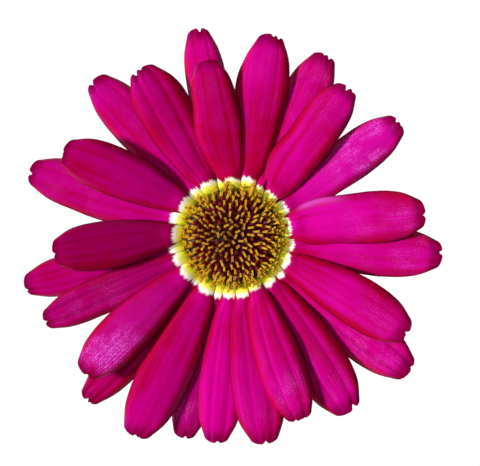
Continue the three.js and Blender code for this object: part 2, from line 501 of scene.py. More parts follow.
def read_petal(name):
    points, triangles = mesh_arrays(name)
    reach = np.hypot(points[:, 0], points[:, 1])
    root = points[reach < reach.min() + root_zone, :2].mean(axis=0)
    tip = points[reach > reach.max() - tip_zone, :2].mean(axis=0)
    for _ in range(3):
        length = np.linalg.norm(tip - root)
        ahead = (tip - root) / length
        aside = np.array([-ahead[1], ahead[0]])
        middles = []
        for share in (0.25, 0.8):
            cut = slice_petal(points, triangles, root, ahead, share * length)
            middle = (cut[..., 0].max() + cut[..., 0].min()) / 2
            middles.append(root + ahead * share * length + aside * middle)
        ahead = (middles[1] - middles[0]) / np.linalg.norm(middles[1] - middles[0])
        along = (points[:, :2] - middles[0]) @ ahead
        root = middles[0] + ahead * along.min()
        tip = middles[0] + ahead * along.max()
    length = np.linalg.norm(tip - root)
    shares = np.linspace(0.03, 0.93, 13)
    heights = []
    widths = []
    for share in shares:
        cut = slice_petal(points, triangles, root, ahead, share * length)
        heights.append(height_at(cut, (cut[..., 0].max() + cut[..., 0].min()) / 2))
        widths.append((cut[..., 0].max() - cut[..., 0].min()) / 2)
    widest = int(np.argmax(widths))
    cut = slice_petal(points, triangles, root, ahead, shares[widest] * length)
    droop = heights[widest] - height_at(cut, droop_at * widths[widest])
    return {
        "root": root,
        "ahead": ahead,
        "length": length,
        "half_width": max(widths),
        "midrib": np.polyfit(shares, heights, 4),
        "droop": droop / droop_at**2,
    }


petal_frames = [read_petal(f"ray_petal_{n:02d}") for n in range(1, 26)]
for n, p in enumerate(petal_frames, 1):
    print(n, *(f"{key} {p[key]:.2f}" for key in ("length", "half_width", "droop")))

# %% [markdown]
# ## The petal's skin
#
# A marguerite's petal is magenta with a white base that turns yellow-green where it dives under
# the disc. Each petal carries a map of its own: along it from root to tip, and round it from one
# edge over the top to the other and back underneath. Streaks and grooves are drawn in that map.
# The specular light and the sheen are tinted violet, with no green in them, because light that
# glances off these cells still passes through their pigment.

# %% Colour the petals
eye_edge = 9.45
groove_place = 0.36

petal_material, nodes, shader = new_material(
    "petal_skin",
    0.4,
    Specular_IOR_Level=0.5,
    Specular_Tint=(0.6, 0.0, 0.85, 1),
    Sheen_Weight=0.06,
    Sheen_Roughness=0.4,
    Sheen_Tint=(0.5, 0.0, 1, 1),
)
place = nodes.add("ShaderNodeTexCoord").outputs["Object"]
spot = place_group(nodes, place_in_flower, Place=place)
petal_map = nodes.add("ShaderNodeUVMap", uv_map="along_across").outputs["UV"]
sheet = place_group(nodes, folded_sheet, Map=petal_map, Seed=spot["Bearing"])
along, off_middle, folded = sheet["Along"], sheet["Off_Middle"], sheet["Folded"]


def fibres(nodes, vector, across, along):
    return place_group(nodes, growth_streaks, Map=vector, Across=across, Along=along)["Streaks"]


fine_streaks = fibres(nodes, folded, 26.0, 1.0)
broad_streaks = fibres(nodes, folded, 7.0, 0.7)
blotches = nodes.noise(place, 420.0, 3.0, 0.6)
flushes = nodes.noise(place, 75.0, 1.0)
print(petal_material.name, "so far", len(nodes.tree.nodes), "nodes")

# %% [markdown]
# ### Magenta and crimson
#
# Two pigments make the colour, and their shares drift: crimson gathers towards the root, and
# magenta fills the blade. The grooves and the rims are pushed towards crimson too, which is painted
# shade where the grooves sink and the rims roll down away from the light. Each pattern pushes the
# share a little one way or the other, which looks softer than laying one colour over another.

# %% Mix the two pigments
from_groove = nodes.math("ABSOLUTE", nodes.math("SUBTRACT", off_middle, groove_place))
in_groove = nodes.math("SUBTRACT", 1.0, nodes.ramp(from_groove, 0.0, 0.14))
near_rim = nodes.ramp(off_middle, 0.4, 0.95)
# Painted shade: the grooves and the rims push the share towards crimson, as if they lay in shade.
edges_and_grooves = nodes.math(
    "MAXIMUM", nodes.math("MULTIPLY", in_groove, 0.35), nodes.math("MULTIPLY", near_rim, 0.75)
)
crimson_and_shade_share = nodes.math("ADD", edges_and_grooves, 0.38)
crimson_and_shade_share = nodes.math("MULTIPLY_ADD", nodes.ramp(along, 0.12, 0.6), -0.28, crimson_and_shade_share)
pattern_weights = ((broad_streaks, 0.6), (fine_streaks, 0.14), (blotches, 0.3), (flushes, 0.8))
for pattern, weight in pattern_weights:
    contrast = nodes.ramp(pattern, 0.34, 0.66)
    push = nodes.math("MULTIPLY_ADD", contrast, weight, -weight / 2)
    crimson_and_shade_share = nodes.math("ADD", crimson_and_shade_share, push)
crimson_and_shade_share = nodes.math("ADD", crimson_and_shade_share, 0.0, clamp=True)
pigment = nodes.mix(crimson_and_shade_share, color(207, 0, 138), color(182, 0, 50))
print("crimson share of", len(pattern_weights), "patterns, the grooves, the rims and the root")

# %% [markdown]
# ### Lines and rims
#
# On strongly ridged petals the grooves get dark lines of painted shade. All rims and tips are a
# deeper red, partly from the pigment held where the tissue is folded over and partly as painted
# shade where the rims roll down away from the light. And some whole petals are deeper than others:
# partly their own colour, partly painted shade for petals that tilt away from the light or lie in a
# neighbour's shadow. How ridged and how deep a petal is, is stored in its mesh as an attribute,
# which the material reads by name.

# %% Darken the grooves and rims
ridges = nodes.add("ShaderNodeAttribute", attribute_name="ridges").outputs["Fac"]
# Painted shade: dark lines along the grooves.
groove_shade_line = nodes.math("SUBTRACT", 1.0, nodes.ramp(from_groove, 0.0, 0.12))
groove_shade_strength = nodes.math("MULTIPLY_ADD", ridges, 0.36, -0.16, clamp=True)
groove_shade_line = nodes.math("MULTIPLY", groove_shade_line, groove_shade_strength)
pigment = nodes.mix(groove_shade_line, pigment, color(134, 0, 40))

# Partly pigment, partly painted shade: rims and tips darken to deep red where they roll down away from the
# light.
side_rim_shade = nodes.math("MULTIPLY", nodes.ramp(off_middle, 0.84, 1.0), 0.75)
rim_pigment_and_shade = nodes.math("MAXIMUM", side_rim_shade, nodes.ramp(along, 0.89, 0.995))
pigment = nodes.mix(nodes.math("MULTIPLY", rim_pigment_and_shade, 0.9), pigment, color(124, 0, 28))

# Partly the petal's own deeper colour, partly painted shade on petals that tilt away from the light or lie
# in a neighbour's shadow.
depth = nodes.add("ShaderNodeAttribute", attribute_name="depth").outputs["Fac"]
pigment = nodes.mix(nodes.math("MULTIPLY", depth, 0.62), pigment, color(130, 0, 32))
print("with grooves and rims", len(nodes.tree.nodes), "nodes")

# %% [markdown]
# ### Painted sheen
#
# Some petals carry a violet sheen that is painted into their colour: the light that their domed
# outer cells catch is drawn as fine glinting grains inside soft patches, over a violet wash. How much
# of it a petal has is stored in its mesh, so one material serves all twenty-five. Where an edge is
# turned up, a pale stripe along it is painted as a highlight.

# %% Paint the violet sheen
# Painted sheen: a violet wash and bright grains stand for light caught by the petal's cells.
bloom = nodes.add("ShaderNodeAttribute", attribute_name="bloom").outputs["Fac"]
blade = nodes.math("MULTIPLY", nodes.ramp(along, 0.08, 0.4), nodes.ramp(along, 1.0, 0.85))
blade = nodes.math("MULTIPLY", blade, nodes.math("SUBTRACT", 1.0, nodes.ramp(off_middle, 0.6, 0.95)))
outer_half = nodes.ramp(along, 0.35, 0.7)
clouds = nodes.ramp(nodes.noise(place, 240.0, 3.0), 0.4, 0.64)
patches = nodes.math("MULTIPLY", clouds, outer_half)
patches = nodes.math("MULTIPLY", patches, nodes.ramp(fine_streaks, 0.34, 0.6))
sheen_amount = nodes.math("MULTIPLY", bloom, blade)
sheen_wash = nodes.math("MULTIPLY", sheen_amount, nodes.math("MULTIPLY_ADD", patches, 0.36, 0.18))
pigment = nodes.mix(sheen_wash, pigment, color(220, 26, 186))
# Painted glints: bright grains inside the sheen patches.
sparkle_grains = nodes.ramp(nodes.noise(place, 5600.0, 1.0), 0.46, 0.66)
painted_sparkle = nodes.math("MULTIPLY", sparkle_grains, patches)
painted_sparkle = nodes.math("MULTIPLY", painted_sparkle, nodes.math("MULTIPLY", sheen_amount, 0.72))
pigment = nodes.mix(painted_sparkle, pigment, color(240, 116, 230))
# Painted highlight: a pale stripe where petal 1's edge turns up to the light.
turned = nodes.add("ShaderNodeAttribute", attribute_name="turned").outputs["Fac"]
pigment = nodes.mix(turned, pigment, color(226, 76, 206))
print("with bloom", len(nodes.tree.nodes), "nodes")

# %% [markdown]
# ### The pale eye
#
# Towards its root each petal turns white, then lime, and a darker olive in the throat, which is
# painted shade under the disc's rim. The border is ragged, because the pigment stops at a different
# place in each fibre, and on some petals the white reaches farther out than on others. Where two
# claws meet, a thin dark line paints the shade in the gap between them. The eye is also given a faint
# glow, painted light that lifts it out of the shade of the disc.

# %% Draw the pale eye
eye_streaks = fibres(nodes, folded, 11.0, 3.0)
reach = nodes.add("ShaderNodeAttribute", attribute_name="eye").outputs["Fac"]
ragged_radius = nodes.math("ADD", spot["Radius"], nodes.math("MULTIPLY_ADD", eye_streaks, 1.3, -0.65))
white_radius = nodes.math("SUBTRACT", ragged_radius, reach)
retreat = nodes.math("MULTIPLY", nodes.math("POWER", off_middle, 3.0), 0.8)
pigmented = nodes.ramp(nodes.math("ADD", white_radius, retreat), eye_edge - 0.24, eye_edge + 0.3)
lime_radius = nodes.math("MULTIPLY_ADD", reach, -0.4, ragged_radius)
limed = nodes.math("SUBTRACT", 1.0, nodes.ramp(lime_radius, eye_edge - 1.0, eye_edge - 0.1))
eye = nodes.mix(limed, color(255, 254, 246), color(238, 236, 66))
# Painted shade: the throat darkens to olive under the disc's rim.
throat_shade = nodes.math("SUBTRACT", 1.0, nodes.ramp(lime_radius, eye_edge - 1.8, eye_edge - 0.9))
eye = nodes.mix(throat_shade, eye, color(168, 176, 8))
# Painted shade: a thin dark line in the gap between neighbouring claws.
claw_gap_shade = nodes.math("MULTIPLY", nodes.ramp(off_middle, 0.82, 0.98), 0.8)
eye = nodes.mix(claw_gap_shade, eye, color(120, 40, 36))
nodes.tree.links.new(nodes.mix(pigmented, eye, pigment), shader.inputs["Base Color"])
# Painted light: the pale eye glows a little, which lifts it out of the disc's shade.
nodes.tree.links.new(nodes.mix(pigmented, eye, (0.0, 0.0, 0.0, 1)), shader.inputs["Emission Color"])
shader.inputs["Emission Strength"].default_value = 0.28
print("pale eye out to", eye_edge, "mm")

# %% [markdown]
# ### Sheen and veins
#
# Petals are satin, with patches that shine more. Fine bumps stand for the cells, and soft bumps
# that follow the fibres stand for the veins. Both are too small to be worth modelling.

# %% Bump the petal's skin
gloss = nodes.math("MULTIPLY_ADD", nodes.ramp(blotches, 0.35, 0.7), -0.14, 0.5)
nodes.tree.links.new(gloss, shader.inputs["Roughness"])
cells = nodes.noise(place, 7000.0, 2.0, 0.6)
cell_bump = nodes.add("ShaderNodeBump", {"Height": cells, "Strength": 0.8, "Distance": 0.00006}).outputs[0]
veins = {"Height": fine_streaks, "Strength": 0.3, "Distance": 0.0001, "Normal": cell_bump}
nodes.tree.links.new(nodes.add("ShaderNodeBump", veins).outputs[0], shader.inputs["Normal"])
print("petal_skin", len(nodes.tree.nodes), "nodes")

# %% [markdown]
# ## The petals
#
# A petal is a long strap with a narrow claw at its root. Three ridges run along it with two
# grooves between them, and the tip is nicked where the grooves end, because the strap is really
# several small petals grown together. It is a closed loft: thin, thinner still at its rim, and
# bent along the line that its frame gives. All petals share one outline, given as widths at a few
# places along it and smoothed, so that no corner is left.

# %% Outline the petals
outline_along = [0, 0.05, 0.14, 0.3, 0.48, 0.65, 0.8, 0.92, 1]
outline_width = [0.26, 0.34, 0.52, 0.74, 0.92, 1, 0.98, 0.87, 0.62]


def outline(share):
    """Smooth width of a petal, as a share of its half width."""
    fine = np.linspace(0, 1, 201)
    rough = np.interp(fine, outline_along, outline_width)
    kernel = np.hanning(31)
    padded = np.pad(rough, 15, mode="reflect", reflect_type="odd")
    soft = np.convolve(padded, kernel / kernel.sum(), mode="valid")
    return np.interp(share, fine, soft)


print("a petal's claw is", round(float(outline(0)), 2), "of its full width")

# %% [markdown]
# ### Nicked tips
#
# The tips differ most from petal to petal, so their nicks are listed one by one. Each nick has a
# place across the tip, from -1 on the clockwise side to 1 on the other, and a depth in mm.

# %% List the nicks in each tip
nick_width = 0.11
tip_nicks = {
    1: [(-0.1, 0.4)],
    2: [(0.2, 0.5), (-0.2, 0.2)],
    3: [(0.0, 0.7), (-0.45, 0.2)],
    4: [(-0.3, 0.5), (0.1, 0.25)],
    5: [(-0.15, 0.4), (-0.5, 0.5)],
    6: [],
    7: [(-0.15, 0.7)],
    8: [(0.4, 0.7), (0.0, 0.35)],
    9: [(0.3, 0.6)],
    10: [(0.1, 0.25), (0.35, 0.3), (0.6, 0.25)],
    11: [(0.15, 0.6)],
    12: [(0.1, 0.4), (0.35, 0.15)],
    13: [(0.35, 0.35)],
    14: [(0.1, 0.45)],
    15: [(0.25, 0.35)],
    16: [(0.0, 0.55), (0.35, 0.2)],
    17: [(0.05, 0.4), (0.3, 0.2)],
    18: [(0.15, 0.45)],
    19: [(0.15, 0.35)],
    20: [(0.0, 0.5)],
    21: [(-0.3, 0.3), (0.05, 0.2), (0.3, 0.2)],
    22: [(0.35, 0.8)],
    23: [(0.3, 0.35)],
    24: [(0.0, 0.55), (-0.25, 0.2)],
    25: [(0.15, 0.55)],
}
print(sum(len(nicks) for nicks in tip_nicks.values()), "nicks in", len(tip_nicks), "tips")

# %% [markdown]
# ### How the petals differ in shape
#
# No two petals grew alike. Some are fuller than the common outline, some are strongly ridged, and
# some tips lie above or below their frame. Only the petals that differ are listed.

# %% List the shapes that differ
# How much fuller the clockwise and the anticlockwise side is, and the share of the length where
# that begins to fade.
petal_fullness = {
    1: (1, 1.1, 0.3), 3: (1.15, 1.5, 0.25), 4: (1, 1.12, 0.8), 5: (1, 1.26, 0.7),
    6: (1.2, 1.35, 0.4), 8: (1.2, 1, 0.8), 9: (1.08, 1, 0.8), 11: (1, 1.16, 0.45),
    13: (1.12, 1, 0.9), 14: (1, 1.12, 0.4), 17: (1, 1.06, 0.9), 19: (1, 1.14, 0.9),
    20: (1.14, 1, 0.9), 22: (1.14, 1.14, 0.9), 23: (1, 1.1, 0.9),
}

# How strong the ridges are on the petals where they show most, and on all the others.
petal_ridges = {
    8: 1.8, 12: 1.3, 13: 1.3, 14: 2.0, 16: 1.6, 19: 1.2, 20: 1.2, 21: 1.3, 22: 1.5, 23: 1.7,
}
plain_ridges = 0.6

# How far a petal's tip lies above (or below) its frame in mm, and how far its claw is spread.
petal_lift = {3: 0.3, 10: 0.5, 12: 1.1, 18: -1.0, 21: -1.2}
claw_spread = {1: 1.3, 2: 1.25}
print(len(petal_fullness), "fuller,", len(petal_ridges), "ridged,", len(petal_lift), "lifted or lowered")

# %% [markdown]
# ### How the petals differ in colour
#
# The material reads these four traits from each petal's mesh: how far the white reaches in mm, how
# much painted violet sheen the petal carries, how deep its colour and its painted shade are, and how
# ridged it is. One petal has a painted highlight along its turned-up edge as well.

# %% List the colours that differ
petal_eye = {
    1: -0.4, 3: -0.5, 4: -0.6, 6: -0.4, 7: -0.3, 9: 0.2, 10: 0.2, 11: 0.8, 13: 0.6, 14: 0.4,
    15: 0.3, 17: 0.3, 18: 0.3, 21: -0.6, 23: 0.3,
}
petal_bloom = {
    1: 0.35, 2: 1.9, 3: 0.15, 4: 0.4, 5: 0.1, 6: 0.1, 7: 0.2, 9: 0.1, 11: 0.25, 14: 0.4, 15: 1.8,
    18: 0.6, 20: 0.1, 21: 0.5, 22: 0.15, 23: 0.4, 24: 0.15, 25: 0.35,
}
# Deep crimson for each petal: partly its own colour, partly painted shade where it tilts away from the light
# or lies in shadow.
petal_depth_and_shade = {
    1: 0.15, 3: 0.15, 6: 0.15, 8: 0.6, 9: 0.3, 10: 0.45, 11: 0.45, 12: 1, 13: 0.6, 14: 0.9,
    15: 0.25, 16: 0.6, 17: 0.4, 18: 1, 19: 0.15, 20: 0.4, 22: 0.15, 24: 0.25, 25: 0.1,
}
petal_turned = {1: 0.85}
petal_traits = {"bloom": petal_bloom, "depth": petal_depth_and_shade, "eye": petal_eye, "ridges": petal_ridges}
print({trait: len(table) for trait, table in petal_traits.items()})

# %% [markdown]
# ### The bend of a petal
#
# A petal's middle surface is worked out for a whole grid of points at once. It starts flat, with
# its outline and nicks. Then come the midrib's bend, the droop of the sides, the grooves, the
# hump over the claw and a slow wave in the rim. The roll and the wave come from chance, seeded by
# the petal's number, so that every run grows the same flower.

# %% Bend the petals
claw_hump = 0.5
ridge_depth = 0.1
groove_width = 0.13
rim_droop = 0.38
tip_droop = 0.25


def petal_surface(p, number, u, v):
    """Middle surface of petal p at shares u along it and v across it."""
    chance = np.random.default_rng(900 + number)
    roll = math.radians(chance.uniform(-5, 5))
    wave_height, wave_phase = chance.uniform(0.1, 0.35), chance.uniform(0, 6.28)
    bow = chance.uniform(-0.35, 0.35)
    ridges = ridge_depth * petal_ridges.get(number, plain_ridges)

    trim = 0.035 * np.abs(v) ** 2.2 + 0.035 * np.abs(v) ** 8
    nick = np.zeros_like(v)
    for at, depth in tip_nicks[number]:
        nick += 1.05 * depth * np.exp(-(((v - at) / nick_width) ** 2))
    reach = u * (1 - trim) * p["length"]
    reach = reach - nick * smoothstep(0.9, 1, u)
    share = reach / p["length"]

    spread = 1 + (claw_spread.get(number, 1) - 1) * (1 - smoothstep(0.15, 0.5, u))
    clockwise, anticlockwise, reaches = petal_fullness.get(number, (1, 1, 0.5))
    fuller = np.where(v < 0, clockwise, anticlockwise) - 1
    fading = 1 - smoothstep(reaches, reaches + 0.35, u)
    spread = spread * (1 + fuller * smoothstep(0, 0.12, u) * fading)
    width = outline(u) * p["half_width"] * spread
    side = v * width + bow * np.sin(np.pi * share)
    lean = np.sin(np.pi * np.clip(share, 0, 1)) * roll
    height = np.polyval(p["midrib"], share)
    height = height - p["droop"] * outline(u) * np.abs(v) ** 2.3
    height = height - rim_droop * smoothstep(0.7, 1, np.abs(v)) * smoothstep(0.1, 0.3, share)
    height = height - tip_droop * smoothstep(0.9, 1, u)
    height = height + petal_lift.get(number, 0) * share**0.8
    height = height + v * width * np.tan(lean)
    grown = smoothstep(0.1, 0.3, share)
    grooves = np.exp(-(((np.abs(v) - groove_place) / groove_width) ** 2))
    grooves = grooves + 0.35 * np.exp(-((v / 0.08) ** 2))
    height = height - ridges * grooves * grown
    height = height + claw_hump * np.exp(-(((reach - 2.2) / 1.2) ** 2)) * (1 - np.abs(v) ** 2)
    rim_wave = np.sin(share * 11 + wave_phase + 1.7 * np.sign(v)) * wave_height * np.abs(v) ** 3
    height = height + rim_wave * smoothstep(0.2, 0.5, share)
    return reach, side, height


trial = petal_surface(petal_frames[0], 1, np.array([0.0, 0.5, 1.0]), np.zeros(3))
print("heights along the first midrib in mm", [round(float(z), 1) for z in trial[2]])

# %% [markdown]
# ### Closing a petal
#
# The top and the bottom are the middle surface, pushed out to both sides along its own normal. At
# the tip the two are sewn together lane by lane, since a single many-sided cap there would not
# follow the nicks. Each trait is stored on every point, where the material can read it.

# %% Tools for closing a petal
petal_rows = 60
petal_lanes = 28


def petal_faces(rows, around):
    """Faces of a loft whose last ring is a flat slit, sewn lane by lane."""
    faces = [tuple(reversed(face)) for face in loft_faces(rows, around, cap_last=False)]
    last = (rows - 1) * around
    for k in range(petal_lanes):
        low_a = 0 if k == 0 else around - k
        low_b = petal_lanes if k + 1 == petal_lanes else around - (k + 1)
        loop = [last + k, last + k + 1, last + low_b, last + low_a]
        face = tuple(dict.fromkeys(loop))
        if len(face) > 2:
            faces.append(tuple(reversed(face)))
    return faces


def store_trait(piece, trait, values):
    layer = piece.data.attributes.new(trait, "FLOAT", "POINT")
    layer.data.foreach_set("value", values)


print("a petal is a grid of", petal_rows, "rows by", petal_lanes, "lanes")

# %% [markdown]
# ### Thickness
#
# The rows stand closer together towards the tip and the lanes towards the rims, where the shape
# turns most. The claw is a little thicker than the blade, and the sheet thins to almost nothing at
# its rims.

# %% Give a petal its thickness
petal_thickness = 0.26
claw_thickness = 0.3
u_rows = 1 - (1 - np.linspace(0, 1, petal_rows + 1)) ** 1.25
crowding = math.pi / 2 * 0.8
v_lanes = np.sin(np.linspace(-1, 1, petal_lanes + 1) * crowding) / math.sin(crowding)


def petal_rings(number, p):
    """Points of petal p, one ring for each row: over the top and back underneath."""
    u, v = np.meshgrid(u_rows, v_lanes, indexing="ij")
    reach, side, height = petal_surface(p, number, u, v)
    share = reach / p["length"]
    body = petal_thickness + (claw_thickness - petal_thickness) * (1 - smoothstep(0, 0.14, share))
    body = body * np.sqrt(1 - np.abs(v) ** 4) * (1 - 0.6 * smoothstep(0.9, 1, u)) + 0.01
    ahead = np.array([*p["ahead"], 0])
    aside = np.array([-ahead[1], ahead[0], 0])
    root = np.array([*p["root"], 0])
    middle = root + reach[..., None] * ahead + side[..., None] * aside
    middle[..., 2] += height
    along = np.gradient(middle, axis=0)
    across = np.gradient(middle, axis=1)
    normal = np.cross(along, across)
    normal /= np.linalg.norm(normal, axis=2, keepdims=True)
    top = middle + normal * body[..., None] / 2
    bottom = (middle - normal * body[..., None] / 2)[:, -2:0:-1]
    return np.concatenate([top, bottom], axis=1)


print("points round a petal", petal_rings(1, petal_frames[0]).shape[1])

# %% [markdown]
# ### Growing the petals
#
# Each petal gets its map, along it and round it, and its four traits. The painted edge highlight is
# a pale stripe near one rim, over part of the length, where that edge turns up to the light.

# %% Grow the petals
def make_petal(number, p):
    rings = petal_rings(number, p)
    rows, around = rings.shape[:2]
    faces = petal_faces(rows, around)
    girth = np.concatenate([(v_lanes + 1) / 2, 2 - (v_lanes[-2:0:-1] + 1) / 2])
    uv = np.stack([np.repeat(u_rows, around), np.tile(girth, rows)], axis=1)
    name = f"petal_{number:02d}"
    piece = new_piece(name, rings.reshape(-1, 3), faces, [petal_material], uv=uv)
    for trait, table in petal_traits.items():
        store_trait(piece, trait, [table.get(number, 0)] * len(piece.data.vertices))
    # The painted highlight stripe: near one rim, over part of the length.
    highlight_across = np.exp(-(((girth - 0.93) / 0.06) ** 2)) * petal_turned.get(number, 0)
    highlight_along = smoothstep(0.1, 0.2, u_rows) * (1 - smoothstep(0.3, 0.55, u_rows))
    store_trait(piece, "turned", np.outer(highlight_along, highlight_across).ravel())
    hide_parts(f"ray_petal_{number:02d}")
    return piece


petals = [make_petal(n, p) for n, p in enumerate(petal_frames, 1)]
print(len(petals), "petals,", sum(len(p.data.polygons) for p in petals), "faces")

# %% [markdown]
# ## Materials of the disc
#
# The disc is dark: the closed florets are a deep maroon that shades into purple. Out of each one
# stands a forked style, dusted with yellow pollen. Round the rim the florets are open, and their
# small corollas are orange and yellow. Every one of these is grainy and turns browner towards the
# middle, where the florets are youngest, so that much is one shared effect.

# %% Build the grained tissue
nodes, given, result = new_group(
    "grained_tissue",
    [("Place", "Vector", None), ("Grain", "Float", 3000.0)]
    + [(tone, "Color", None) for tone in ("Base", "Second", "Third", "Young")],
    [("Tone", "Color"), ("Grains", "Float")],
)
radius = place_group(nodes, place_in_flower, Place=given["Place"])["Radius"]
broad = nodes.ramp(nodes.noise(given["Place"], 700.0, 2.0), 0.35, 0.65)
fine = nodes.noise(given["Place"], given["Grain"], 2.0, 0.6)
tone = nodes.mix(broad, given["Base"], given["Second"])
tone = nodes.mix(nodes.ramp(fine, 0.5, 0.7), tone, given["Third"])
young = nodes.math("SUBTRACT", 1.0, nodes.ramp(radius, 1.0, 5.5))
tone = nodes.mix(nodes.math("MULTIPLY", young, 0.4), tone, given["Young"])
nodes.tree.links.new(tone, result["Tone"])
nodes.tree.links.new(fine, result["Grains"])
grained_tissue = nodes.tree
print(grained_tissue.name, len(grained_tissue.nodes), "nodes")

# %% [markdown]
# ### Buds, styles and open florets
#
# The three kinds of tissue differ only in their colours, their grain and how dull they are, so
# one function makes all three materials. The bump follows the same grain as the colour, since on
# pollen the bright spots are the ones that stand out.

# %% Colour the disc
def disc_material(name, base, second, third, young, roughness, grain):
    material, nodes, shader = new_material(name, roughness, Specular_IOR_Level=0.2)
    place = nodes.add("ShaderNodeTexCoord").outputs["Object"]
    values = {"Place": place, "Grain": grain, "Base": base, "Second": second, "Third": third, "Young": young}
    tissue = place_group(nodes, grained_tissue, **values)
    nodes.tree.links.new(tissue["Tone"], shader.inputs["Base Color"])
    bump = nodes.add("ShaderNodeBump", {"Height": tissue["Grains"], "Strength": 0.7, "Distance": 0.00008})
    nodes.tree.links.new(bump.outputs[0], shader.inputs["Normal"])
    return material


bud_tones = color(122, 14, 20), color(98, 12, 30), color(60, 6, 12), color(104, 40, 16)
style_tones = color(216, 172, 28), color(196, 142, 12), color(240, 208, 74), color(150, 96, 26)
open_tones = color(206, 166, 18), color(190, 112, 10), color(234, 208, 54), color(150, 96, 26)
bud_material = disc_material("closed_floret", *bud_tones, 0.5, 3500.0)
style_material = disc_material("pollen_style", *style_tones, 0.8, 6000.0)
open_material = disc_material("open_floret", *open_tones, 0.6, 4000.0)

# The buds glow faintly red: painted light that keeps the gaps between them from going black.
bud_shader = bud_material.node_tree.nodes["Principled BSDF"]
bud_shader.inputs["Emission Color"].default_value = (1, 0.05, 0.04, 1)
bud_shader.inputs["Emission Strength"].default_value = 0.016
print("disc materials", bud_material.name, style_material.name, open_material.name)

# %% [markdown]
# ## The disc florets
#
# Florets grow on a sunflower spiral: each one is turned by the golden angle from the last, which
# packs them evenly whatever their number. Their feet stand on the receptacle's cushion, and their
# heads make a wider, rounder dome, so they lean outwards more and more towards the rim. The
# cushion's height and the width of the dome are read from the frame's six rough rings.

# %% Measure the disc
ring_names = [f"disc_florets_ring_{n:02d}" for n in range(1, 7)]
ring_boxes = [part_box(name) for name in ring_names]
disc_top = ring_boxes[0][1][2] / MM
disc_foot = ring_boxes[0][0][2] / MM
rim_foot = ring_boxes[-1][0][2] / MM
head_circle = (ring_boxes[-1][1][0] - ring_boxes[-1][0][0]) / 2 / MM
print("disc from", round(rim_foot, 1), "to", round(disc_top, 1), "mm, heads out to", round(head_circle, 1))

# %% [markdown]
# ### Tubes
#
# Every part of a floret is a tube, straight or bent, round or lobed. A tube needs a direction at
# each of its centres, and two more axes square to it to draw the ring with. Those are kept as level
# as they can be, so that the rings don't twist against each other.

# %% Tools for tubes
def lean_frame(direction):
    """Three axes with the last one along direction, the first as level and outward as can be."""
    up = np.asarray(direction) / np.linalg.norm(direction)
    side = np.cross([0, 0, 1], up)
    if np.linalg.norm(side) < 1e-6:
        side = np.array([0.0, 1, 0])
    side = side / np.linalg.norm(side)
    return np.stack([np.cross(side, up), side, up])


def tube(centres, radii, sides, lobes=0, lobe_depth=0.0, spin=0.0):
    """A closed tube through centres, with one radius for each, and a lobed section if asked."""
    centres = np.asarray(centres, dtype=float)
    directions = np.gradient(centres, axis=0)
    turns = np.linspace(0, 2 * math.pi, sides, endpoint=False)
    rings = []
    for centre, direction, radius in zip(centres, directions, radii):
        axes = lean_frame(direction)
        swell = 1 + lobe_depth * np.cos(lobes * turns + spin)
        ring = np.cos(turns + spin)[:, None] * axes[0] + np.sin(turns + spin)[:, None] * axes[1]
        rings.append(centre + ring * (radius * swell)[:, None])
    return np.concatenate(rings), loft_faces(len(centres), sides)


print("a tube of 3 rings has", len(tube(np.eye(3), [1, 1, 1], 8)[1]), "faces")

# %% [markdown]
# ### A crowd in one mesh
#
# Hundreds of florets as hundreds of objects would be slow to handle. So the small shapes of one
# kind in one zone are collected, and end up as a single mesh.

# %% Collect small shapes
class Crowd:
    """Collects many small closed shapes into one mesh."""

    def __init__(self):
        self.points = []
        self.faces = []
        self.count = 0

    def add(self, shape):
        points, faces = shape
        self.faces += [tuple(i + self.count for i in face) for face in faces]
        self.points.append(points)
        self.count += len(points)


print("a new crowd holds", Crowd().count, "points")

# %% [markdown]
# ### Buds and open florets
#
# A closed floret is a slim tube that ends in a five-lobed knob. An open one flares into five
# pointed lobes, and its rings then turn back down inside, so that it is really hollow. The five
# lobes are the five petals that each floret is made of.

# %% Shape the buds and the open florets
bud_radii = np.array([0.17, 0.18, 0.19, 0.22, 0.28, 0.35, 0.37, 0.29, 0.09])

# Radius in mm, height as a share of the floret's, and how far the lobes stand out.
corolla_rings = (
    (0.15, 0.0, 0), (0.17, 0.5, 0), (0.24, 0.72, 0), (0.34, 0.86, 0.05), (0.5, 0.95, 0.2),
    (0.52, 0.985, 0.24), (0.32, 0.9, 0.05), (0.18, 0.78, 0), (0.04, 0.74, 0),
)


def bud(foot, head, chance):
    """A closed floret: a slim tube that ends in a five-lobed knob."""
    line = np.linspace(0, 1, 9)[:, None]
    centres = foot + (head - foot) * line
    size = chance.uniform(0.9, 1.12)
    return tube(centres, bud_radii * size, 15, 5, 0.13, chance.uniform(0, 6.28))


def open_corolla(foot, head, chance):
    """An open floret: a tube that flares into five pointed lobes, hollow inside."""
    axes = lean_frame(head - foot)
    height = np.linalg.norm(head - foot)
    spin = chance.uniform(0, 6.28)
    sides = 20
    turns = np.linspace(0, 2 * math.pi, sides, endpoint=False)
    point = np.clip(np.cos(5 * turns), -0.3, 1)
    size = chance.uniform(0.68, 0.95)
    rings = []
    for radius, rise, flare in corolla_rings:
        reach = (radius + flare * point) * size
        ring = np.cos(turns + spin)[:, None] * axes[0] + np.sin(turns + spin)[:, None] * axes[1]
        rings.append(foot + ring * reach[:, None] + axes[2] * height * rise)
    return np.concatenate(rings), loft_faces(len(rings), sides)


print("widest bud", 2 * bud_radii.max(), "mm")

# %% [markdown]
# ### Styles
#
# The style is what shows most: two prongs side by side, dusted with pollen. The prongs stay close
# for most of their length and part at their ends. Every point is pushed a little by chance, which
# makes the surface as rough as a layer of pollen grains.

# %% Shape the styles
prong_radii = np.array([0.8, 0.95, 1, 1, 1.05, 1.12, 1.1, 0.5])
pollen_roughness = 0.012


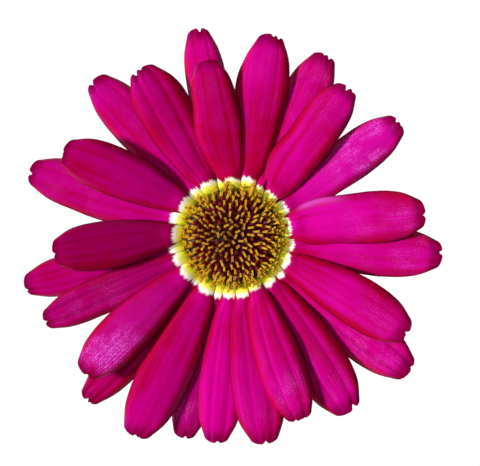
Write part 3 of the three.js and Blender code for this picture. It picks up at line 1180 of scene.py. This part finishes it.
def fork(start, direction, length, chance, width=0.082, spread=0.04):
    """A style: two prongs side by side that part at their ends, rough with pollen."""
    axes = lean_frame(direction)
    shapes = []
    for hand in (-1, 1):
        line = np.linspace(0, 1, 8)
        aside = hand * (width * 0.85 + spread * line**2.5)
        droop = 0.12 * line**2
        centres = start + axes[2] * (line * length)[:, None] + axes[1] * aside[:, None]
        centres = centres - np.array([0, 0, 1]) * droop[:, None]
        points, faces = tube(centres, width * prong_radii, 7)
        rough = chance.normal(0, pollen_roughness, size=points.shape)
        shapes.append((points + rough, faces))
    return shapes


print("a style has", len(prong_radii), "rings to a prong")

# %% [markdown]
# ### Growing the florets
#
# The florets are shared out over the six zones of the frame. The ones in the middle are buds, and
# the ones at the rim are open. Their styles lean further out than the florets do, so that from
# above each one shows as a short yellow rod. A few have no style yet, and the outermost have a
# second one that lies lower, over the eye of the petals.

# %% Grow the florets, zone by zone
floret_count = 222
golden_angle = math.pi * (3 - math.sqrt(5))
foot_circle = 6.4
head_inset = 0.5
rim_head = 8.4
dome_rise = 2.3
open_share = 0.84
bare_share = 0.06
second_style_share = 0.78

zones = [{"buds": Crowd(), "styles": Crowd(), "open": Crowd()} for _ in ring_names]
for n in range(floret_count):
    chance = np.random.default_rng(4000 + n)
    share = math.sqrt((n + 0.5) / floret_count)
    zone = zones[min(int(share * len(zones)), len(zones) - 1)]
    angle = n * golden_angle + chance.uniform(-0.04, 0.04)
    out = np.array([math.cos(angle), math.sin(angle), 0])
    foot = out * foot_circle * share
    foot[2] = disc_foot - (disc_foot - rim_foot) * share**2
    head = out * (head_circle - head_inset) * share
    head[2] = rim_head + dome_rise * (1 - share**2.2)
    axis = (head - foot) / np.linalg.norm(head - foot)
    if share > open_share:
        zone["open"].add(open_corolla(foot, head + axis * 0.1, chance))
    else:
        zone["buds"].add(bud(foot, head, chance))
    tilt = math.radians(chance.normal(50 + 24 * share, 8))
    bearing = angle + chance.normal(0, 0.32 if share > 0.3 else 0.9)
    flat = np.array([math.cos(bearing), math.sin(bearing), 0])
    direction = flat * math.sin(tilt) + np.array([0, 0, math.cos(tilt)])
    length = chance.uniform(0.9, 1.25)
    start = head - axis * 0.05 - flat * 0.3
    if chance.random() > bare_share:
        for shape in fork(start, direction, length, chance):
            zone["styles"].add(shape)
    if share > second_style_share:
        turn = angle + chance.normal(0, 0.6)
        low_flat = np.array([math.cos(turn), math.sin(turn), 0])
        low = low_flat * 0.9 + np.array([0, 0, chance.uniform(0.1, 0.4)])
        beside = np.array([-low_flat[1], low_flat[0], 0]) * chance.uniform(-0.4, 0.4)
        for shape in fork(start + beside, low, chance.uniform(0.6, 0.95), chance, 0.08, 0.1):
            zone["styles"].add(shape)
print({kind: sum(zone[kind].count for zone in zones) for kind in zones[0]}, "points")

# %% [markdown]
# ### One long floret
#
# At one side of the disc a single floret has grown half into a petal: it is long, yellow and
# pointed, and leans out over the white eye. It joins the open florets of the outermost zone.

# %% Add the long floret
long_bearing = math.radians(68)
long_length = 3.0
long_out = np.array([math.cos(long_bearing), math.sin(long_bearing), 0])
long_foot = long_out * 6.6 + np.array([0, 0, 8.5])
long_line = np.linspace(0, 1, 8)[:, None]
long_centres = long_foot + long_out * long_length * long_line + np.array([0, 0, 0.9]) * long_line**0.6
long_radii = np.array([0.16, 0.24, 0.32, 0.36, 0.34, 0.28, 0.18, 0.04])
zones[-1]["open"].add(tube(long_centres, long_radii, 10, 5, 0.12))
print("long floret", long_length, "mm long")

# %% [markdown]
# ### Three meshes for each zone
#
# Each kind of tissue has its own material, so each zone becomes up to three meshes. All of them
# stand in the place of the same rough ring.

# %% Turn the crowds into pieces
kinds = (("buds", bud_material), ("open", open_material), ("styles", style_material))
for n, (zone, node) in enumerate(zip(zones, ring_names), 1):
    pieces = []
    for kind, material in kinds:
        crowd = zone[kind]
        if crowd.count:
            points = np.concatenate(crowd.points)
            piece = new_piece(f"disc_{kind}_{n}", points, crowd.faces, [material])
            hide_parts(node)
            pieces.append(piece)
    print("zone", n, [len(p.data.polygons) for p in pieces], "faces")

# %% [markdown]
# ## The green parts
#
# Below the petals the receptacle swells from the stalk like a bowl. Two rows of bracts clasp it,
# green with thin, dry, pale edges. The stub ends in a clean cut, with a pale pith inside a
# darker rind.

# %% Colour the green parts
green_material, nodes, shader = new_material("green_stalk", 0.55, Specular_IOR_Level=0.35)
place = nodes.add("ShaderNodeTexCoord").outputs["Object"]
spot = place_group(nodes, place_in_flower, Place=place)
wrapped = nodes.add("ShaderNodeCombineXYZ", {"X": spot["Height"], "Y": spot["Bearing"]}).outputs[0]
ribs = fibres(nodes, wrapped, 9.0, 0.4)
rind = nodes.mix(ribs, color(96, 128, 52), color(132, 158, 78))
pith = nodes.mix(nodes.noise(place, 2500.0), color(206, 214, 160), color(182, 196, 128))
cut_face = nodes.math("SUBTRACT", 1.0, nodes.ramp(spot["Height"], 0.01, 0.03))
inside = nodes.math("SUBTRACT", 1.0, nodes.ramp(spot["Radius"], 1.05, 1.25))
tone = nodes.mix(nodes.math("MULTIPLY", cut_face, inside), rind, pith)
cushion_tone = nodes.mix(nodes.noise(place, 900.0), color(54, 30, 12), color(66, 10, 18))
tone = nodes.mix(nodes.ramp(spot["Height"], 6.6, 7.0), tone, cushion_tone)
nodes.tree.links.new(tone, shader.inputs["Base Color"])
bump = nodes.add("ShaderNodeBump", {"Height": ribs, "Strength": 0.5, "Distance": 0.0002})
nodes.tree.links.new(bump.outputs[0], shader.inputs["Normal"])
print("green_stalk", len(nodes.tree.nodes), "nodes")

# %% [markdown]
# ### The skin of the bracts
#
# A bract is a leaf scale: fibrous green with a dark keel, and a dry, papery margin the colour of
# straw. The margin is cut ragged by the same fibres, so it never looks like a painted line.

# %% Colour the bracts
bract_material, nodes, shader = new_material("bract_skin", 0.55, Specular_IOR_Level=0.35)
bract_map = nodes.add("ShaderNodeUVMap", uv_map="along_across").outputs["UV"]
sheet = place_group(nodes, folded_sheet, Map=bract_map)
threads = fibres(nodes, sheet["Folded"], 26.0, 1.5)
leaf_tone = nodes.mix(threads, color(84, 116, 44), color(128, 154, 70))
keel = nodes.math("SUBTRACT", 1.0, nodes.ramp(sheet["Off_Middle"], 0.0, 0.25))
leaf_tone = nodes.mix(nodes.math("MULTIPLY", keel, 0.5), leaf_tone, color(62, 92, 34))
torn = nodes.math("ADD", sheet["Off_Middle"], nodes.math("MULTIPLY_ADD", threads, 0.3, -0.15))
dry = nodes.math("MAXIMUM", nodes.ramp(torn, 0.72, 0.92), nodes.ramp(sheet["Along"], 0.86, 0.98))
nodes.tree.links.new(nodes.mix(dry, leaf_tone, color(188, 168, 118)), shader.inputs["Base Color"])
bump = nodes.add("ShaderNodeBump", {"Height": threads, "Strength": 0.5, "Distance": 0.0002})
nodes.tree.links.new(bump.outputs[0], shader.inputs["Normal"])
print("bract_skin", len(nodes.tree.nodes), "nodes")

# %% [markdown]
# ## The receptacle and its stub
#
# The bowl, the stub and the cushion on top are round, so they are one profile turned about the
# flower's axis. The profile is read from the frame's rough piece: the height of every point and
# its distance from the axis.

# %% Read the receptacle's profile
core_points, _ = mesh_arrays("stalk_and_receptacle")
core_reach = np.hypot(core_points[:, 0], core_points[:, 1])
core_profile = np.unique(np.round(np.stack([core_points[:, 2], core_reach], axis=1), 2), axis=0)
cut_radius = core_profile[core_profile[:, 0] < 0.01, 1].max()
cup_start = 2.0
cup_radius = core_profile[:, 1].max()
wall = core_profile[core_profile[:, 1] > cup_radius - 0.01, 0]
rim_z = wall.min()
wall_top = wall.max()
core_top = core_profile[:, 0].max()
on_bowl = (core_profile[:, 0] >= cup_start - 0.01) & (core_profile[:, 0] <= rim_z + 0.01)
side_profile = core_profile[on_bowl]
print("cup radius", cup_radius, "rim at", rim_z, "top", core_top, "cut radius", cut_radius, "mm")

# %% [markdown]
# ### Turning the profile
#
# A ring of points is set at every height of the profile. A thin ledge is added under the claws of
# the petals, where the real receptacle grips them, and the rings of the stub and the bowl are
# rippled, which gives the shallow ribs that run down a stalk.

# %% Turn the receptacle and its stub
core_rings = [(0.0, cut_radius * 0.55), (0.0, cut_radius * 0.93), (0.08, cut_radius)]
core_rings += [(z, cut_radius * (1 + 0.04 * math.sin(z * 2))) for z in (0.5, 1.0, 1.5)]
for z, r in side_profile[np.argsort(side_profile[:, 1])]:
    core_rings.append((z, r))
ledge = [(0.45, 0.0), (0.55, 0.62), (0.66, 0.86), (0.76, 0.86)]
ledge += [(0.8, 0.7), (0.81, 0.05), (1.2, 0.0), (1.7, 0.0)]
core_rings += [(rim_z + rise, cup_radius + out) for rise, out in ledge]
core_rings.append((wall_top, cup_radius))
for share in (0.9, 0.75, 0.6, 0.45, 0.3, 0.15, 0.03):
    core_rings.append((wall_top + (core_top - wall_top) * (1 - share**2), cup_radius * share))
core_sides = 96
turns = np.linspace(0, 2 * math.pi, core_sides, endpoint=False)
rib = 0.035 * np.cos(10 * turns) + 0.015 * np.cos(23 * turns + 1)
core = []
for z, r in core_rings:
    ribbed = r + rib * (1 if 0 < z < rim_z and r > 1.2 else 0)
    level = np.full(core_sides, z)
    core.append(np.stack([ribbed * np.cos(turns), ribbed * np.sin(turns), level], axis=1))
core_faces = loft_faces(len(core), core_sides)
receptacle = new_piece("receptacle", np.concatenate(core), core_faces, [green_material])
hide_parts("stalk_and_receptacle")
print("receptacle", len(core_faces), "faces")

# %% [markdown]
# ## The bracts
#
# The bracts lie close against the bowl, so they need its side as a line that can be followed: a
# radius, a height and a slope for each share of the way up. Past the rim the line goes straight
# on upwards, since the tips of the inner bracts stand free there.

# %% Follow the bowl's side
side_line = side_profile[np.argsort(side_profile[:, 1])][:, ::-1]
side_steps = np.concatenate([[0], np.cumsum(np.linalg.norm(np.diff(side_line, axis=0), axis=1))])
side_shares = side_steps / side_steps[-1]


def bowl_side(share):
    """Radius, height and outward slope of the bowl's side at a share of the way up it."""
    inside = np.clip(share, 0, 1)

    def line_at(place):
        radius = np.interp(place, side_shares, side_line[:, 0])
        return radius, np.interp(place, side_shares, side_line[:, 1])

    r, z = line_at(inside)
    z = z + np.maximum(share - 1, 0) * side_steps[-1]
    step = 0.04
    r_before, z_before = line_at(np.clip(inside - step, 0, 1))
    r_after, z_after = line_at(np.clip(inside + step, 0, 1))
    dr, dz = r_after - r_before, z_after - z_before
    size = np.hypot(dr, dz)
    return r, z, dr / size, dz / size


print("the bowl's side is", round(float(side_steps[-1]), 1), "mm long")

# %% [markdown]
# ### One bract
#
# Each bract is a small green leaf pressed to the bowl, with a keel down its middle and a papery
# rim that stands off a little. It follows the bowl's side at a small distance, and its two faces
# close on each other at the rim, as on the petals.

# %% Shape a bract
bract_rows = 26
bract_lanes = 12
bract_thickness = 0.28


def make_bract(node, name, share_from, share_to, lift_low, lift_high, point):
    points, _ = mesh_arrays(node)
    bearings = np.arctan2(points[:, 1], points[:, 0])
    middle = math.atan2(np.sin(bearings).mean(), np.cos(bearings).mean())
    offset = (bearings - middle + math.pi) % (2 * math.pi) - math.pi
    spread = np.abs(offset).max()
    chance = np.random.default_rng(sum(map(ord, node)))
    middle += chance.uniform(-0.02, 0.02)
    bract_u = np.linspace(0, 1, bract_rows + 1)
    bract_v = np.linspace(-1, 1, bract_lanes + 1)
    u, v = np.meshgrid(bract_u, bract_v, indexing="ij")
    shape = np.interp(u, [0, 0.2, 0.45, 0.7, 0.9, 1], [0.6, 0.9, 1, 0.85, 0.5 + 0.2 * point, 0.16])
    share = share_from + (share_to - share_from) * (u - 0.05 * np.abs(v) ** 2 * u)
    r, z, slope_r, slope_z = bowl_side(share)
    lift = lift_low + (lift_high - lift_low) * smoothstep(0, 0.4, u)
    lift = lift + 0.1 * (1 - np.abs(v)) * (1 - u) + chance.uniform(-0.03, 0.05) * u
    lift = lift + 0.07 * np.sin(5 * u + chance.uniform(0, 6)) * np.abs(v) ** 3
    body = bract_thickness * np.sqrt(1 - np.abs(v) ** 4) * (1 - 0.7 * smoothstep(0.8, 1, u)) + 0.01
    sheets = []
    for hand in (1, -1):
        off = lift + 0.18 + hand * body / 2
        radius = r + off * slope_z
        height = z - off * slope_r
        angle = middle - v * spread * shape
        sheets.append(np.stack([radius * np.cos(angle), radius * np.sin(angle), height], axis=2))
    rings = np.concatenate([sheets[0], sheets[1][:, -2:0:-1]], axis=1)
    around = rings.shape[1]
    faces = [tuple(reversed(face)) for face in loft_faces(bract_rows + 1, around)]
    girth = np.concatenate([(bract_v + 1) / 2, 2 - (bract_v[-2:0:-1] + 1) / 2])
    uv = np.stack([np.repeat(bract_u, around), np.tile(girth, bract_rows + 1)], axis=1)
    piece = new_piece(name, rings.reshape(-1, 3), faces, [bract_material], uv=uv)
    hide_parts(node)
    return piece


print("a bract is", bract_thickness, "mm thick")

# %% [markdown]
# ### Two rows of bracts
#
# The inner row has thirteen blunt bracts that reach past the rim of the bowl. The outer row has
# eight pointed ones, lower down and standing off a little more. Thirteen and eight are what the
# spiral of such a flower head often gives.

# %% Grow the bracts
inner_row = dict(share_from=0.42, share_to=1.04, lift_low=0.3, lift_high=0.3, point=1)
outer_row = dict(share_from=0.12, share_to=0.76, lift_low=0.3, lift_high=0.95, point=0)
inner_bracts = [
    make_bract(f"inner_bract_{n:02d}", f"bract_inner_{n:02d}", **inner_row) for n in range(1, 14)
]
outer_bracts = [
    make_bract(f"outer_bract_{n:02d}", f"bract_outer_{n:02d}", **outer_row) for n in range(1, 9)
]
print(len(inner_bracts), "inner and", len(outer_bracts), "outer bracts")

# %% [markdown]
